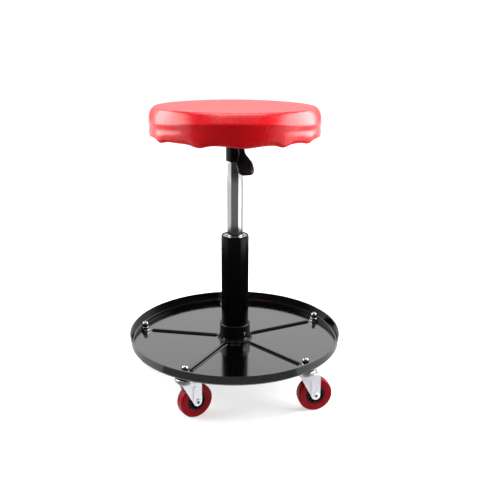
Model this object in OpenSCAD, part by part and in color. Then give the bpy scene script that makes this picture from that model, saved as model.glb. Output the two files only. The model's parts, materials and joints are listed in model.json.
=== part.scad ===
// Rolling work stool: a round parts tray on five casters, a gas strut in a steel column, and a
// padded round seat. Millimetres, +Z up, the origin on the floor below the column, the front at -Y.
// The stool stands at its full seat height. Heights stack up from the floor, so each size can
// change by itself and what stands on it follows.

/* [Casters] */
// Radius of a wheel over its tread
wheel_r = 31.5; // [26:0.5:36]
// Width of the tread
wheel_w = 19; // [15:0.5:24]
// Radius of the hard core inside the tread
core_r = 16; // [12:0.5:20]
// Radius of the axle rivet
axle_r = 4; // [3:0.25:5]
// How far the axle trails behind the stem
caster_trail = 18; // [14:0.5:24]
// Radius of the threaded stem
stem_r = 5; // [4:0.25:6]
// Gap from the wheel up to the stem's riveted head
wheel_gap = 5.7; // [3:0.1:10]
// Thickness of the fork's sheet steel
fork_t = 2; // [1.5:0.1:3]
// Outer radius of the bend from the fork's crown to its legs
fork_bend_r = 3.5; // [2.5:0.1:5]
// Radius of a swivel ball
swivel_ball_r = 3; // [2:0.1:3.4]
// Outer radius of the race cup
race_cup_r = 18.5; // [17.5:0.1:21]
// Distance from the tray's rim in to a stem
caster_inset = 20.7; // [18:0.1:40]
// Angle from the front to the first stem
caster_turn = 43.7; // [36:0.1:50]

/* [Tray] */
// Outer radius of the tray
tray_r = 203; // [196:0.5:230]
// Height of the tray over its underside
tray_h = 19.6; // [14:0.2:30]
// Thickness of the tray's sheet steel
tray_t = 1.2; // [1:0.1:2]
// Outer radius of the bend from floor to wall
tray_bend_r = 5; // [3:0.5:8]
// How much the wall leans out
tray_draft = 1.5; // [0:0.1:3]
// Width of a pressed rib at the floor
rib_w = 12; // [8:0.5:16]
// Height of a pressed rib
rib_h = 3.6; // [2:0.1:4.5]
// Gap from the foot flange to a rib's inner end
rib_start_gap = 1; // [0.5:0.5:25]
// Gap from a rib's outer end to the washer that it points to
rib_gap = 2.3; // [0.5:0.1:40]

/* [Hub] */
// Wall of the collar around the column
collar_wall = 3.5; // [3:0.25:6]
// Height of the collar over the tray floor
collar_h = 32.2; // [20:0.2:50]
// How far the foot flange stands out from the collar
flange_lip = 3.5; // [2:0.25:6]
// Thickness of the foot flange
flange_t = 3.2; // [2:0.1:4]
// Radius of the backing plate under the tray
backing_r = 62; // [45:1:90]
// Thickness of the backing plate
backing_t = 3; // [2:0.5:5]
// Height of the ring nut
ring_nut_h = 10; // [6:0.5:14]

/* [Column and strut] */
// Outer radius of the column
column_r = 26; // [25:0.25:26.5]
// Wall of the column
column_t = 2; // [1.5:0.1:3]
// Travel of the seat on the strut
stroke = 125; // [90:1:160]
// Radius of the chromed gas cylinder
cylinder_r = 15; // [14:0.25:16]
// Wall of the gas cylinder
cylinder_t = 1.5; // [1:0.1:2]
// Length of cylinder left in the column at full height
cylinder_overlap = 80.5; // [74:0.5:110]
// Length of the guide bush
bush_h = 70; // [40:1:71]
// Cylinder left in view at the lowest seat height
stop_gap = 14.5; // [8:0.5:40]
// Radius of the piston rod
rod_r = 5; // [4.5:0.25:6]

/* [Seat] */
// Outer radius of the seat at its widest
seat_r = 153.8; // [145:0.2:175]
// Height of the top seam over the seat board's underside
seat_side_h = 48.5; // [42:0.5:70]
// Rise of the seat's middle over the top seam
seat_crown = 4; // [2:0.5:12]
// Thickness of the vinyl cover
cover_t = 1.2; // [1:0.1:1.6]
// Depth of a pucker in the hem
hem_pucker = 3.6; // [1:0.1:5]
// How much lower the side's crease runs at the left and right
crease_fall = 7.5; // [0:0.5:10]
// Thickness of the plywood board
board_t = 12; // [9:0.5:18]
// Side of the square seat plate
plate_side = 160; // [150:1:172]
// Thickness of the seat plate
plate_t = 2.5; // [2:0.1:4]
// Distance of a seat bolt from the plate's middle, along each side
bolt_offset = 62; // [50:1:64]
// Outer radius of the seat socket
socket_r = 17; // [16.5:0.1:18]
// Height of the seat socket
socket_h = 46; // [42:0.5:60]

/* [Lever] */
// Angle of the lever from the front
lever_turn = 18; // [0:1:45]
// Radius of the lever's steel bar
bar_r = 4; // [3:0.1:4.2]
// Distance of the lever's pin from the column's axis
pivot_out = 22; // [21.5:0.1:26]
// Slope of the lever below level
lever_slope = 49.5; // [40:0.5:60]
// Length of the paddle
paddle_len = 63; // [50:1:90]
// Width of the paddle at its widest
paddle_w = 30.5; // [26:0.5:36]
// Width of the paddle's neck
neck_w = 11; // [11:0.5:16]
// Thickness of the paddle
paddle_t = 11; // [9.5:0.1:12]

/* [Hidden] */
$fn = 96;
hull_fn = 32;
caster_n = 5;
caster_circle_r = tray_r - caster_inset;
// Heading of each caster's trail, from +X, beginning with the caster at the front right
headings = [11, 80, 350, 40, 33];

// Clearances and overruns
cut = 1;          // how far a cut runs past its piece
seat_gap = 0.05;  // between pieces pressed or seated together, on a radius
run_gap = 0.05;   // radial clearance of a shaft or slider in its bore
rest_gap = 0.3;   // between pieces that lie against each other and move apart
hole_gap = 0.3;   // radial clearance of a bolt or spigot in its hole

// Swivel bearing and fork
rivet_h = 2.2;
rivet_lip = 2;
rivet_r = stem_r + rivet_lip;
race_gap = 0.15;
race_t = 2;
race_lip_gap = 0.8;
shoulder_h = 1.9;
shoulder_lip = 5.5;
shoulder_r = stem_r + shoulder_lip;
swivel_ball_n = 12;
crown_z = 2 * wheel_r + wheel_gap + rivet_h + rest_gap;
crown_top = crown_z + fork_t;
race_ball_z = crown_top + race_gap + swivel_ball_r;
race_inner_z = race_ball_z + swivel_ball_r + race_gap;
race_top = race_inner_z + race_t;
race_pitch_r = race_cup_r - race_t - swivel_ball_r - 2 * race_gap - race_t / 2;
crown_r = race_cup_r - race_t - rest_gap;
tray_z = race_top + shoulder_h;
fork_lead_wall = 8;
fork_lead = stem_r + fork_lead_wall;
fork_tip_wall = 4;
fork_tip_r = axle_r + fork_tip_wall;
core_proud = 0.4;
fork_in = wheel_w / 2 + 2 * core_proud;
fork_out = fork_in + fork_t;
tread_round_share = 0.22;
tread_round = wheel_w * tread_round_share;
hub_wall = 4.5;
hub_r = axle_r + hub_wall;
core_rim_t = 2;
web_share = 0.5;
web_t = wheel_w * web_share;
rivet_end_h = 2;
rivet_end_lip = 2;
rivet_end_r = axle_r + rivet_end_lip;
dimple_share = 0.8;
rivet_dimple_r = axle_r * dimple_share;

// Nuts over the casters
floor_z = tray_z + tray_t;
rim_z = tray_z + tray_h;
hem_h = 4 * tray_t;
// A rib's top is part of a round bar of this radius, sunk in the floor
rib_bar_r = (rib_w * rib_w / 4 + rib_h * rib_h) / (2 * rib_h);
washer_t = 1.6;
washer_lip = 5;
washer_r = stem_r + washer_lip;
rib_end = caster_circle_r - washer_r - rib_gap - rib_w / 2;
nut_wall = 3.6;
nut_hex_r = stem_r + nut_wall;
nut_hex_h = 6;
nut_chamfer_share = 0.6;
dome_wall = 1.2;
dome_r = stem_r + dome_wall;
dome_straight_h = 5;
thread_up = washer_t + nut_hex_h + dome_straight_h;

// Hub
collar_r = column_r + collar_wall;
flange_r = collar_r + flange_lip;
rib_start = flange_r + rib_start_gap + rib_w / 2;
spigot_wall = 3;
spigot_r = column_r + spigot_wall;
column_lip_t = 2;
column_lip = 3;
hub_lip_t = 3;
spigot_tail = 5.2;
spigot_drop = backing_t + ring_nut_h + spigot_tail;
hub_z = tray_z - spigot_drop;
column_z = hub_z + hub_lip_t;
collar_top = floor_z + collar_h;
collar_edge = 2.4;
foot_weld_h = 5;
ring_nut_wall = 10;
ring_nut_r = spigot_r + ring_nut_wall;
screw_r = 3;
screw_proud = 1.4;
screw_socket_share = 0.5;
screw_turn = 37;
screw_z = floor_z + collar_h / 2;

// Stack on the column's floor, up to the bumper
bore_r = column_r - column_t;
end_plate_z = column_z + column_lip_t;
end_plate_t = 4;
shank_step = 1;
shank_r = rod_r - shank_step;
thrust_washer_t = 1.5;
thrust_washer_lip = 7;
thrust_washer_r = rod_r + thrust_washer_lip;
thrust_ball_r = 2;
thrust_ball_n = 12;
thrust_pitch_r = (shank_r + thrust_washer_r) / 2 + thrust_ball_r / 2;
thrust_z = end_plate_z + end_plate_t;
thrust_ball_z = thrust_z + thrust_washer_t + race_gap + thrust_ball_r;
thrust_top_z = thrust_ball_z + thrust_ball_r + race_gap;
rod_shoulder_z = thrust_top_z + thrust_washer_t;
bumper_h = 6;
bumper_top = rod_shoulder_z + bumper_h;
clip_t = 1.3;
clip_lip = 3.8;
clip_r = shank_r + clip_lip;
clip_groove = 0.8;
clip_z = end_plate_z - rest_gap - clip_t;
rod_tail = 2.6;

// Gas strut
column_top = bumper_top + rest_gap + stroke + cylinder_overlap;
bush_recess = 0.8;
bush_land_h = 16;
bush_relief = 0.6;
cylinder_z = column_top - cylinder_overlap;
cylinder_lip_t = 1.5;
cylinder_lip = 4;
guide_z = cylinder_z + cylinder_lip_t;
guide_h = 23;
gas_gap = 2.5;
inner_tube_r = cylinder_r - cylinder_t - gas_gap;
inner_tube_t = 1;
piston_r = inner_tube_r - inner_tube_t - 2 * run_gap;
piston_rest = 2;
piston_z = guide_z + guide_h + piston_rest;
piston_h = 12;
piston_ring_h = 4;
piston_ring_w = 2;
piston_end_h = 1.5;
socket_z = column_top + stroke + stop_gap;
socket_top = socket_z + socket_h;
taper_step = 0.8;
taper_big_r = cylinder_r - taper_step;
taper_fall = 1;
taper_small_r = taper_big_r - taper_fall;
taper_share = 0.66;
taper_h = socket_h * taper_share;
taper_top = socket_z + taper_h;
taper_t = 1.5;
valve_h = 20;
valve_r = taper_small_r - taper_t - seat_gap;
pin_r = 3.5;
pin_below = 24;

// Lever: its level stub lies just over the release pin, and its pin is a little lower
stub_sink = 1.2;
stub_z = socket_top - bar_r - stub_sink;
pivot_sink = 1.8;
pivot_z = stub_z - pivot_sink;
eye_wall = 2;
eye_r = bar_r + eye_wall;
lever_pin_r = 2.5;
ear_gap = 1;
ear_t = 2.5;
ear_wall = 1;
ear_r = eye_r + ear_wall;
stub_end = 4;
pin_top = stub_z - bar_r - rest_gap;
slot_gap = 0.75;
slot_drop = 2.8;
paddle_gap = 1;
paddle_start = ear_r + paddle_gap;
bar_share = 0.6;
bar_in_paddle = paddle_len * bar_share;
waist_share = 0.35;      // how far along the paddle its neck begins to flare
waist_wide_share = 0.4;  // the waist's width, of the paddle's
cheek_share = 0.667;     // how far along the paddle is widest
corner_share = 0.72;     // radius of the tip's corners, of half the paddle's width
pin_head_h = 1.5;
pin_head_lip = 1.2;
pin_head_r = lever_pin_r + pin_head_lip;

// Seat plate, bolts and board
plate_z = socket_top;
board_z = plate_z + plate_t;
plate_lip_h = 8;
plate_corner_r = 10;
bolt_r = 4;
bolt_head_r = 7.5;
bolt_head_h = 5.3;
tee_wall = 1.2;
tee_barrel_r = bolt_r + tee_wall;
tee_flange_lip = 7;
tee_flange_r = bolt_r + tee_flange_lip;
tee_flange_t = 1.2;
bolt_short = 2;
bolt_up = board_t - bolt_short;

// Seat cushion: radii as shares of seat_r and heights as shares of seat_side_h
cover_sides = 48;
pucker_n = 12;
pucker_turn = 4;
hem_in_share = 0.832;
seam_share = 0.938;
staple_n = 24;
staple_share = 0.868;
staple_w = 12;
staple_wire = 1;
staple_leg = 7;
// Each row is a radius, a height, and how far the hem's pucker and the crease's fall reach it
side_shares = [
    [hem_in_share, -0.033, 0, 0], [0.905, -0.035, 0, 0], [0.958, -0.034, 1, 0],
    [0.988, 0.01, 0.55, 0], [0.998, 0.12, 0.1, 0], [1, 0.33, 0, 0.3], [1, 0.52, 0, 1],
    [0.998, 0.62, 0, 1], [0.992, 0.67, 0, 1], [0.986, 0.74, 0, 0.7], [0.975, 0.83, 0, 0.3],
    [0.958, 0.93, 0, 0], [seam_share, 1, 0, 0]];
// Each row is a radius and a height, the height as a share of the crown over the seam
crown_shares = [[0.927, -0.12], [0.914, 0.14], [0.8, 0.52], [0.45, 0.88]];
crown_z_top = seat_side_h + seat_crown;
under_gap = 0.2;
board_inset = 2.6;
board_r = seat_r - cover_t - board_inset;
foam_gap = 0.35;
foam_rows = 5;    // how many rows of the cover's inner line the foam follows

// Points of an arc about (x, y), from angle a to angle b in n steps
function arc(x, y, r, a, b, n = 6) =
    [for (i = [0:n]) let (t = a + (b - a) * i / n) [x + r * cos(t), y + r * sin(t)]];

// Where a caster's stem stands
function stem_at(i) =
    let (a = caster_turn + 360 / caster_n * (i - 1))
    [caster_circle_r * sin(a), -caster_circle_r * cos(a), 0];

// Draws its children at every caster's stem
module at_stems() for (i = [1:caster_n]) translate(stem_at(i)) children();

// Draws its children in a caster's own frame, with +X along the trail
module caster_frame(i) translate(stem_at(i)) rotate(headings[i - 1]) children();

// Draws its children in the lever's frame, with the lever running along -Y
module lever_frame() rotate(lever_turn) children();

// A plain tube standing at height z
module ring(outer, inner, z, h) translate([0, 0, z]) difference() {
    cylinder(r = outer, h = h);
    translate([0, 0, -cut]) cylinder(r = inner, h = h + 2 * cut);
}

// A ring of balls about the Z axis
module ball_ring(ball_r, pitch_r, n, z)
    for (i = [0:n - 1]) rotate(360 / n * i) translate([pitch_r, 0, z]) sphere(r = ball_r, $fn = 24);

// A round bar lying along Y at height z, from y = a to y = b
module bar_y(r, a, b, z) translate([0, b, z]) rotate([90, 0, 0]) cylinder(r = r, h = b - a);

// A round bar lying along X, from -half to half
module bar_x(r, half) rotate([0, 90, 0]) cylinder(r = r, h = 2 * half, center = true);

// The solid of a rib: a bar sunk in the floor, with round ends. The groove below is a thinner one
module rib(r) translate([0, 0, floor_z + rib_h - rib_bar_r]) {
    rotate([90, 0, 0]) translate([0, 0, rib_start]) cylinder(r = r, h = rib_end - rib_start);
    for (end = [rib_start, rib_end]) translate([0, -end, 0]) sphere(r = r);
}

module tray_shell() {
    foot_r = tray_r - tray_draft;
    inner_bend = tray_bend_r - tray_t;
    lean = tray_draft / (tray_h - tray_bend_r);
    rotate_extrude() polygon(concat(
        [[0, tray_z]],
        arc(foot_r - tray_bend_r, tray_z + tray_bend_r, tray_bend_r, -90, 0),
        [[tray_r, rim_z], [tray_r - 2 * tray_t, rim_z],
         [tray_r - 2 * tray_t - lean * hem_h, rim_z - hem_h],
         [tray_r - tray_t - lean * (hem_h + tray_t), rim_z - hem_h - tray_t]],
        arc(foot_r - tray_bend_r, tray_z + tray_bend_r, inner_bend, 0, -90),
        [[0, floor_z]]));
}

module tray_pan() color([0.12, 0.12, 0.13]) difference() {
    union() {
        tray_shell();
        intersection() {
            for (i = [1:caster_n]) rotate(caster_turn + 360 / caster_n * (i - 1)) rib(rib_bar_r);
            translate([0, 0, tray_z]) cylinder(r = tray_r, h = tray_h);
        }
    }
    for (i = [1:caster_n])
        rotate(caster_turn + 360 / caster_n * (i - 1)) rib(rib_bar_r - tray_t);
    translate([0, 0, tray_z - cut]) cylinder(r = spigot_r + hole_gap, h = tray_t + 2 * cut);
    at_stems() translate([0, 0, tray_z - cut]) cylinder(r = stem_r + hole_gap, h = tray_t + 2 * cut);
}

module hub_socket() color([0.1, 0.1, 0.1]) difference() {
    rotate_extrude() polygon(concat(
        [[bore_r - column_lip, hub_z], [spigot_r, hub_z], [spigot_r, floor_z]],
        arc(flange_r - flange_t / 2, floor_z + flange_t / 2, flange_t / 2, -90, 90),
        [[collar_r, floor_z + flange_t + foot_weld_h]],
        arc(collar_r - collar_edge, collar_top - collar_edge, collar_edge, 0, 90),
        [[column_r + seat_gap, collar_top], [column_r + seat_gap, column_z],
         [bore_r - column_lip, column_z]]));
    translate([0, 0, screw_z]) rotate(screw_turn)
        bar_y(screw_r + seat_gap, -collar_r - cut, -column_r, 0);
}

module hub_set_screw() color([0.8, 0.8, 0.8]) translate([0, 0, screw_z]) rotate(screw_turn)
    difference() {
        bar_y(screw_r, -collar_r - screw_proud, -column_r - seat_gap, 0);
        translate([0, -collar_r - screw_proud + screw_r, 0]) rotate([90, 0, 0])
            cylinder(r = screw_r * screw_socket_share, h = screw_r + cut, $fn = 6);
    }

module backing_plate() color([0.2, 0.2, 0.2])
    ring(backing_r, spigot_r + hole_gap, tray_z - backing_t, backing_t);

module hub_ring_nut() color([0.65, 0.65, 0.62])
    translate([0, 0, tray_z - backing_t - ring_nut_h]) difference() {
        cylinder(r = ring_nut_r, h = ring_nut_h, $fn = 6);
        translate([0, 0, -cut]) cylinder(r = spigot_r + seat_gap, h = ring_nut_h + 2 * cut);
    }

module column_tube() color([0.06, 0.06, 0.06]) rotate_extrude() polygon(concat(
    [[bore_r - column_lip, column_z], [column_r, column_z]],
    arc(column_r - column_t / 4, column_top - column_t / 4, column_t / 4, 0, 90),
    [[bore_r, column_top], [bore_r, end_plate_z], [bore_r - column_lip, end_plate_z]]));

module guide_bush() color([0.75, 0.75, 0.75]) {
    top = column_top - bush_recess;
    inner = cylinder_r + run_gap;
    rotate_extrude() polygon([
        [inner, top - bush_h], [bore_r - seat_gap, top - bush_h], [bore_r - seat_gap, top],
        [inner, top], [inner, top - bush_land_h],
        [inner + bush_relief, top - bush_land_h - bush_relief],
        [inner + bush_relief, top - bush_h + bush_land_h + bush_relief],
        [inner, top - bush_h + bush_land_h]]);
}

module column_end_plate() color([0.6, 0.6, 0.6])
    ring(bore_r - seat_gap, shank_r + hole_gap, end_plate_z, end_plate_t);

module bearing_lower_washer() color([0.7, 0.7, 0.7])
    ring(thrust_washer_r, shank_r + hole_gap, thrust_z, thrust_washer_t);

module bearing_balls() color([0.85, 0.85, 0.85])
    ball_ring(thrust_ball_r, thrust_pitch_r, thrust_ball_n, thrust_ball_z);

module caster_stems() color([0.8, 0.8, 0.8]) at_stems() {
    translate([0, 0, crown_z - rest_gap - rivet_h]) cylinder(r = rivet_r, h = rivet_h);
    translate([0, 0, crown_z - rest_gap])
        cylinder(r = stem_r, h = floor_z + thread_up - crown_z + rest_gap);
    translate([0, 0, race_top]) cylinder(r = shoulder_r, h = shoulder_h, $fn = 6);
}

module caster_washers() color([0.8, 0.8, 0.8])
    at_stems() ring(washer_r, stem_r + seat_gap, floor_z, washer_t);

module caster_cap_nuts() color([0.85, 0.85, 0.85]) at_stems()
    translate([0, 0, floor_z + washer_t]) difference() {
        union() {
            intersection() {
                cylinder(r = nut_hex_r, h = nut_hex_h, $fn = 6);
                sphere(r = norm([nut_hex_r, nut_hex_h * nut_chamfer_share]));
            }
            cylinder(r = dome_r, h = nut_hex_h + dome_straight_h);
            translate([0, 0, nut_hex_h + dome_straight_h]) sphere(r = dome_r);
        }
        translate([0, 0, -nut_hex_h]) cylinder(r = nut_hex_r, h = nut_hex_h);
        translate([0, 0, -cut])
            cylinder(r = stem_r + seat_gap, h = nut_hex_h + dome_straight_h + rest_gap + cut);
    }

module caster_race_cups() color([0.75, 0.75, 0.75]) at_stems() rotate_extrude() polygon(concat(
    [[race_cup_r - race_t, crown_top + race_lip_gap], [race_cup_r, crown_top + race_lip_gap]],
    arc(race_cup_r - race_t, race_top - race_t, race_t, 0, 90),
    [[stem_r + seat_gap, race_top], [stem_r + seat_gap, race_inner_z],
     [race_cup_r - race_t, race_inner_z]]));

module swivel_balls() color([0.85, 0.85, 0.85])
    at_stems() ball_ring(swivel_ball_r, race_pitch_r, swivel_ball_n, race_ball_z);

// The fork's section across the trail: a flat crown that bends down into two legs
module fork_section() {
    inner_bend = fork_bend_r - fork_t;
    polygon(concat(
        [[-fork_out, 0]],
        arc(fork_bend_r - fork_out, crown_top - fork_bend_r, fork_bend_r, 180, 90),
        arc(fork_out - fork_bend_r, crown_top - fork_bend_r, fork_bend_r, 90, 0),
        [[fork_out, 0], [fork_in, 0]],
        arc(fork_in - inner_bend, crown_z - inner_bend, inner_bend, 0, 90),
        arc(inner_bend - fork_in, crown_z - inner_bend, inner_bend, 90, 180),
        [[-fork_in, 0]]));
}

// The fork seen from the side: slanting in front, round at the axle and at the back of the crown
module fork_side() {
    tip = [caster_trail, wheel_r];
    corner = [-fork_lead, crown_top];
    reach = norm(tip - corner);
    slant = atan2(tip[1] - corner[1], tip[0] - corner[0]) - asin(fork_tip_r / reach);
    run = sqrt(reach * reach - fork_tip_r * fork_tip_r);
    polygon(concat(
        [corner, corner + run * [cos(slant), sin(slant)], tip, [tip[0] + fork_tip_r, tip[1]]],
        arc(tip[0] + fork_tip_r - fork_bend_r, crown_top - fork_bend_r, fork_bend_r, 0, 90)));
    translate(tip) circle(r = fork_tip_r);
}

module fork(i) color([0.8, 0.8, 0.8]) caster_frame(i) difference() {
    union() {
        intersection() {
            rotate([90, 0, 0])
                linear_extrude(height = 2 * fork_out + 2 * cut, center = true) fork_side();
            translate([-fork_lead, 0, 0]) rotate([90, 0, 90])
                linear_extrude(height = fork_lead + caster_trail + fork_tip_r) fork_section();
        }
        translate([0, 0, crown_z]) cylinder(r = crown_r, h = fork_t);
    }
    translate([0, 0, crown_z - cut]) cylinder(r = stem_r + run_gap, h = fork_t + 2 * cut);
    translate([caster_trail, 0, wheel_r]) rotate([90, 0, 0])
        cylinder(r = axle_r + seat_gap, h = 2 * fork_out + 2 * cut, center = true);
}

module axle(i) color([0.7, 0.7, 0.7]) caster_frame(i) translate([caster_trail, 0, wheel_r])
    rotate([90, 0, 0]) difference() {
        union() {
            cylinder(r = axle_r, h = 2 * fork_out, center = true);
            for (side = [-1, 1]) translate([0, 0, side * (fork_out + rivet_end_h / 2)])
                cylinder(r = rivet_end_r, h = rivet_end_h, center = true);
        }
        for (side = [-1, 1]) translate([0, 0, side * (fork_out + rivet_end_h)])
            cylinder(r = rivet_dimple_r, h = 2 * rivet_end_h, center = true);
    }

module tread(i) color([0.8, 0.13, 0.18]) caster_frame(i) translate([caster_trail, 0, wheel_r])
    rotate([90, 0, 0]) rotate_extrude() {
        half = wheel_w / 2;
        polygon(concat(
            [[core_r + seat_gap, -half]],
            arc(wheel_r - tread_round, -half + tread_round, tread_round, -90, 0),
            arc(wheel_r - tread_round, half - tread_round, tread_round, 0, 90),
            [[core_r + seat_gap, half]]));
    }

module core(i) color([0.08, 0.08, 0.08]) caster_frame(i) translate([caster_trail, 0, wheel_r])
    rotate([90, 0, 0]) rotate_extrude() {
        half = wheel_w / 2 + core_proud;
        rim = core_r - core_rim_t;
        polygon([[axle_r + run_gap, -half], [hub_r, -half], [hub_r, -web_t / 2], [rim, -web_t / 2],
                 [rim, -half + core_proud], [core_r, -half + core_proud],
                 [core_r, half - core_proud], [rim, half - core_proud], [rim, web_t / 2],
                 [hub_r, web_t / 2], [hub_r, half], [axle_r + run_gap, half]]);
    }

module piston_rod() color([0.85, 0.85, 0.85]) rotate_extrude() polygon([
    [0, clip_z - rod_tail], [shank_r, clip_z - rod_tail], [shank_r, clip_z],
    [shank_r - clip_groove, clip_z], [shank_r - clip_groove, clip_z + clip_t],
    [shank_r, clip_z + clip_t], [shank_r, rod_shoulder_z], [rod_r, rod_shoulder_z],
    [rod_r, piston_z], [shank_r - clip_groove, piston_z],
    [shank_r - clip_groove, piston_z + piston_h], [rod_r, piston_z + piston_h],
    [rod_r, piston_z + piston_h + piston_end_h], [0, piston_z + piston_h + piston_end_h]]);

module rod_clip() color([0.5, 0.5, 0.5]) difference() {
    ring(clip_r, shank_r - clip_groove + seat_gap, clip_z, clip_t);
    translate([0, -shank_r + clip_groove, clip_z - cut])
        cube([clip_r + cut, 2 * (shank_r - clip_groove), clip_t + 2 * cut]);
}

module bearing_upper_washer() color([0.7, 0.7, 0.7])
    ring(thrust_washer_r, shank_r + seat_gap, thrust_top_z, thrust_washer_t);

module rubber_bumper() color([0.1, 0.1, 0.1])
    ring(thrust_washer_r, rod_r + seat_gap, rod_shoulder_z, bumper_h);

module piston_head() color([0.75, 0.7, 0.55]) {
    groove_z = piston_z + (piston_h - piston_ring_h) / 2;
    inner = shank_r - clip_groove + seat_gap;
    rotate_extrude() polygon([
        [inner, piston_z], [piston_r, piston_z], [piston_r, groove_z],
        [piston_r - piston_ring_w, groove_z], [piston_r - piston_ring_w, groove_z + piston_ring_h],
        [piston_r, groove_z + piston_ring_h], [piston_r, piston_z + piston_h],
        [inner, piston_z + piston_h]]);
}

module piston_seal() color([0.15, 0.15, 0.15])
    ring(piston_r + run_gap, piston_r - piston_ring_w + seat_gap,
         piston_z + (piston_h - piston_ring_h) / 2 + seat_gap, piston_ring_h - 2 * seat_gap);

module gas_cylinder() color([0.85, 0.85, 0.85]) rotate_extrude() {
    inner = cylinder_r - cylinder_t;
    end_in = taper_small_r - taper_t;
    polygon([
        [inner - cylinder_lip, cylinder_z], [cylinder_r - cylinder_t / 2, cylinder_z],
        [cylinder_r, cylinder_z + cylinder_t / 2], [cylinder_r, socket_z - cylinder_t],
        [taper_big_r, socket_z], [taper_small_r, taper_top], [pin_r + hole_gap, taper_top],
        [pin_r + hole_gap, taper_top - taper_t], [end_in, taper_top - taper_t],
        [end_in, taper_top - taper_t - valve_h], [inner, taper_top - taper_h - 2 * cylinder_t],
        [inner, guide_z], [inner - cylinder_lip, guide_z]]);
}

module inner_tube() color([0.7, 0.7, 0.7]) ring(
    inner_tube_r, inner_tube_r - inner_tube_t, guide_z + guide_h,
    taper_top - taper_t - valve_h - guide_z - guide_h);

module rod_seal_guide() color([0.2, 0.2, 0.22]) ring(
    cylinder_r - cylinder_t - seat_gap, rod_r + run_gap, guide_z, guide_h);

module valve_body() color([0.75, 0.65, 0.4])
    ring(valve_r, pin_r + run_gap, taper_top - taper_t - valve_h, valve_h);

module release_pin() color([0.6, 0.6, 0.6]) {
    translate([0, 0, pin_top - pin_r]) sphere(r = pin_r);
    translate([0, 0, taper_top - pin_below])
        cylinder(r = pin_r, h = pin_top - pin_r - taper_top + pin_below);
}

module seat_socket() color([0.05, 0.05, 0.05]) difference() {
    rotate_extrude() polygon([
        [taper_big_r + seat_gap, socket_z], [socket_r, socket_z], [socket_r, socket_top],
        [taper_small_r + seat_gap, socket_top], [taper_small_r + seat_gap, taper_top]]);
    lever_frame() translate([-bar_r - slot_gap, -socket_r - cut, stub_z - bar_r - slot_drop])
        cube([2 * (bar_r + slot_gap), socket_r, socket_top - stub_z + bar_r + slot_drop + cut]);
}

module seat_plate() color([0.12, 0.12, 0.12]) {
    half = plate_side / 2;
    corner = half - plate_corner_r;
    difference() {
        translate([0, 0, plate_z]) linear_extrude(height = plate_t) {
            square([plate_side, 2 * corner], center = true);
            square([2 * corner, plate_side], center = true);
            for (x = [-corner, corner]) for (y = [-corner, corner])
                translate([x, y]) circle(r = plate_corner_r);
        }
        for (x = [-bolt_offset, bolt_offset]) for (y = [-bolt_offset, bolt_offset])
            translate([x, y, plate_z - cut]) cylinder(r = bolt_r + hole_gap, h = plate_t + 2 * cut);
    }
    for (side = [-1, 1])
        translate([side * (half - plate_t / 2), 0, plate_z - plate_lip_h / 2])
            cube([plate_t, 2 * corner, plate_lip_h], center = true);
}

module lever_bracket() color([0.12, 0.12, 0.12]) lever_frame() difference() {
    for (side = [-1, 1]) translate([side * (bar_r + ear_gap + ear_t / 2), -pivot_out, 0]) {
        translate([0, 0, pivot_z]) bar_x(ear_r, ear_t / 2);
        translate([-ear_t / 2, -ear_r, pivot_z]) cube([ear_t, 2 * ear_r, socket_top - pivot_z]);
    }
    translate([0, -pivot_out, pivot_z]) bar_x(lever_pin_r + seat_gap, bar_r + ear_gap + ear_t + cut);
    cylinder(r = socket_r + rest_gap, h = socket_top + cut);
}

module lever_pin() color([0.75, 0.75, 0.75]) lever_frame() translate([0, -pivot_out, pivot_z]) {
    ear_out = bar_r + ear_gap + ear_t;
    bar_x(lever_pin_r, ear_out);
    for (side = [-1, 1]) translate([side * (ear_out + pin_head_h / 2), 0, 0])
        bar_x(pin_head_r, pin_head_h / 2);
}

module lever_arm() color([0.7, 0.7, 0.7]) lever_frame() difference() {
    union() {
        bar_y(bar_r, -pivot_out, stub_end, stub_z);
        translate([0, -pivot_out, pivot_z]) {
            bar_x(eye_r, bar_r);
            rotate([90 + lever_slope, 0, 0]) cylinder(r = bar_r, h = paddle_start + bar_in_paddle);
        }
    }
    translate([0, -pivot_out, pivot_z]) bar_x(lever_pin_r + run_gap, bar_r + cut);
}

// One round cheek of the paddle: a flattened ball, along and across the paddle from its neck
module cheek(along, across, r, t)
    translate([across, 0, along]) scale([1, t / (2 * r), 1]) sphere(r = r, $fn = hull_fn);

module lever_paddle() color([0.05, 0.05, 0.05]) lever_frame()
    translate([0, -pivot_out, pivot_z]) rotate([90 + lever_slope, 0, 0]) {
        neck_r = neck_w / 2;
        wide_r = paddle_w / 2;
        corner_r = wide_r * corner_share;
        translate([0, 0, paddle_start]) difference() {
            union() {
                hull() {
                    scale([1, paddle_t / neck_w, 1])
                        cylinder(r = neck_r, h = neck_r, $fn = hull_fn);
                    cheek(paddle_len * waist_share, 0, wide_r * waist_wide_share, paddle_t);
                }
                hull() {
                    cheek(paddle_len * waist_share, 0, wide_r * waist_wide_share, paddle_t);
                    cheek(paddle_len * cheek_share, 0, wide_r, paddle_t);
                    for (side = [-1, 1])
                        cheek(paddle_len - corner_r, side * (wide_r - corner_r), corner_r, paddle_t);
                }
            }
            translate([0, 0, -cut])
                cylinder(r = bar_r + seat_gap, h = bar_in_paddle + seat_gap + cut);
        }
    }

module seat_board() color([0.75, 0.6, 0.4]) difference() {
    translate([0, 0, board_z]) cylinder(r = board_r, h = board_t);
    for (x = [-bolt_offset, bolt_offset]) for (y = [-bolt_offset, bolt_offset])
        translate([x, y, board_z]) {
            translate([0, 0, -cut]) cylinder(r = tee_barrel_r + seat_gap, h = board_t + 2 * cut);
            translate([0, 0, board_t - tee_flange_t])
                cylinder(r = tee_flange_r + seat_gap, h = tee_flange_t + cut);
        }
}

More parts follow.
